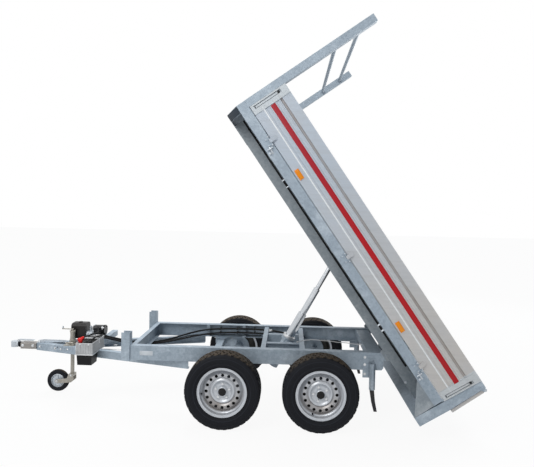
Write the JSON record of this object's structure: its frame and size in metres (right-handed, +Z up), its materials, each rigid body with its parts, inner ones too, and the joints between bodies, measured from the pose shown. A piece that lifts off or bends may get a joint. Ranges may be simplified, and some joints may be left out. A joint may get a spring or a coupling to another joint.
{
  "type": "tipper trailer",
  "caption": "Tandem-axle tipping trailer with a raised steel bed on a telescopic ram, aluminium drop sides, front ladder rack, V drawbar, jockey wheel and electric tipping pump.",
  "frame": {"origin": "on the ground under the middle of the trailer's overall length and width, bed raised", "axes": "+X towards the tail, +Y towards the trailer's right, +Z up"},
  "size_m": [4.0605, 1.624, 3.1848],
  "materials": {
    "galvanised": "hot-dip galvanised, mottled",
    "zinc": "bright zinc plated",
    "board_aluminium": "anodised, lightly ribbed",
    "tyre": "black rubber with dust",
    "rim_silver": "silver wheel paint",
    "black_plastic": "moulded, satin",
    "black_rubber": "matt",
    "black_paint": "semi-gloss black",
    "cast": "cast, zinc passivated",
    "cast_alloy": "cast alloy",
    "chrome": "hard chrome, polished",
    "lamp_red": "red lens"
  },
  "bodies": {
    "frame": {"main_rails": "galvanised", "crossmembers": "galvanised", "cylinder_cradle": "galvanised", "bed_guides": "galvanised", "hinge_ears": "galvanised", "prop_brackets": "galvanised", "front_axle": "galvanised", "rear_axle": "galvanised", "drawbars": "galvanised", "overrun_housing": "cast", "coupling_bellows": "black_rubber", "coupling_head": "zinc", "coupling_handle": "zinc", "handbrake_lever": "zinc", "jockey_tube": "zinc", "equipment_bracket": "galvanised", "battery_box": "black_plastic", "battery_collar": "board_aluminium", "oil_tank": "black_plastic", "pump_block": "cast_alloy", "pump_motor": "black_paint"},
    "bed": {"bed_beams": "galvanised", "bed_bearers": "galvanised", "front_sill": "galvanised", "bed_floor": "galvanised", "bed_side_rails": "galvanised", "rear_sill": "galvanised", "tail_gussets": "galvanised", "tail_posts": "board_aluminium", "headboard": "board_aluminium", "rack_posts": "galvanised", "rack_bars": "galvanised", "ram_lugs": "galvanised", "tail_lamps": "lamp_red"},
    "left_dropside": {"left_dropside": "board_aluminium"},
    "right_dropside": {"right_dropside": "board_aluminium"},
    "tailboard": {"tailboard": "board_aluminium"},
    "cylinder": {"cylinder_barrel": "galvanised"},
    "ram_1": {"ram_1": "chrome"},
    "ram_2": {"ram_2": "chrome"},
    "ram_3": {"ram_3": "chrome"},
    "front_left_wheel": {"front_left_tyre": "tyre", "front_left_rim": "rim_silver"},
    "front_right_wheel": {"front_right_tyre": "tyre", "front_right_rim": "rim_silver"},
    "rear_left_wheel": {"rear_left_tyre": "tyre", "rear_left_rim": "rim_silver"},
    "rear_right_wheel": {"rear_right_tyre": "tyre", "rear_right_rim": "rim_silver"},
    "jockey_lift": {"jockey_inner": "zinc"},
    "jockey_fork": {"jockey_fork": "zinc"},
    "jockey_wheel": {"jockey_tyre": "black_rubber", "jockey_rim": "zinc"},
    "left_prop": {"left_prop_leg": "black_paint"},
    "right_prop": {"right_prop_leg": "black_paint"}
  },
  "joints": [
    {"name": "front_left_spin", "type": "hinge", "parent": "frame", "child": "front_left_wheel", "pos_m": [0.057, -0.6405, 0.3], "axis": [0, 1, 0], "continuous": true},
    {"name": "front_right_spin", "type": "hinge", "parent": "frame", "child": "front_right_wheel", "pos_m": [0.057, 0.6405, 0.3], "axis": [0, 1, 0], "continuous": true},
    {"name": "rear_left_spin", "type": "hinge", "parent": "frame", "child": "rear_left_wheel", "pos_m": [0.823, -0.6405, 0.3], "axis": [0, 1, 0], "continuous": true},
    {"name": "rear_right_spin", "type": "hinge", "parent": "frame", "child": "rear_right_wheel", "pos_m": [0.823, 0.6405, 0.3], "axis": [0, 1, 0], "continuous": true},
    {"name": "bed_tip", "type": "hinge", "parent": "frame", "child": "bed", "pos_m": [1.37, 0, 0.56], "axis": [0, 1, 0], "range_deg": [-55.3, 0]},
    {"name": "cylinder_tilt", "type": "hinge", "parent": "frame", "child": "cylinder", "pos_m": [0.55, 0, 0.53], "axis": [0, 1, 0], "range_deg": [-28.5, 0.5]},
    {"name": "ram_1_slide", "type": "slide", "parent": "cylinder", "child": "ram_1", "axis": [0.4836, 0, 0.8753], "range_m": [-0.2505, 0.0005]},
    {"name": "ram_2_slide", "type": "slide", "parent": "ram_1", "child": "ram_2", "axis": [0.4836, 0, 0.8753], "range_m": [-0.2505, 0.0005]},
    {"name": "ram_3_slide", "type": "slide", "parent": "ram_2", "child": "ram_3", "axis": [0.4836, 0, 0.8753], "range_m": [-0.2505, 0.0005]},
    {"name": "left_dropside_fold", "type": "hinge", "parent": "bed", "child": "left_dropside", "pos_m": [0.98426, -0.806, 1.3876], "axis": [0.5693, 0, -0.8221], "range_deg": [0, 175]},
    {"name": "right_dropside_fold", "type": "hinge", "parent": "bed", "child": "right_dropside", "pos_m": [0.98426, 0.806, 1.3876], "axis": [-0.5693, 0, 0.8221], "range_deg": [0, 175]},
    {"name": "tailboard_swing", "type": "hinge", "parent": "bed", "child": "tailboard", "pos_m": [2.04225, 0, 0.41124], "axis": [0, 1, 0], "range_deg": [-100, 0]},
    {"name": "jockey_lift_slide", "type": "slide", "parent": "frame", "child": "jockey_lift", "axis": [0, 0, 1], "range_m": [0, 0.14]},
    {"name": "jockey_swivel", "type": "hinge", "parent": "jockey_lift", "child": "jockey_fork", "pos_m": [-1.432, 0, 0.16], "axis": [0, 0, 1], "continuous": true},
    {"name": "jockey_spin", "type": "hinge", "parent": "jockey_fork", "child": "jockey_wheel", "pos_m": [-1.563, 0, 0.1], "axis": [0, 1, 0], "continuous": true},
    {"name": "left_prop_slide", "type": "slide", "parent": "frame", "child": "left_prop", "axis": [0, 0, -1], "range_m": [0, 0.09]},
    {"name": "right_prop_slide", "type": "slide", "parent": "frame", "child": "right_prop", "axis": [0, 0, -1], "range_m": [0, 0.09]}
  ],
  "couplings": [
    {"joint": "cylinder_tilt", "follows": "bed_tip", "ratio": 0.499},
    {"joint": "ram_1_slide", "follows": "bed_tip", "m_per_rad": 0.25525},
    {"joint": "ram_2_slide", "follows": "bed_tip", "m_per_rad": 0.25525},
    {"joint": "ram_3_slide", "follows": "bed_tip", "m_per_rad": 0.25525}
  ]
}
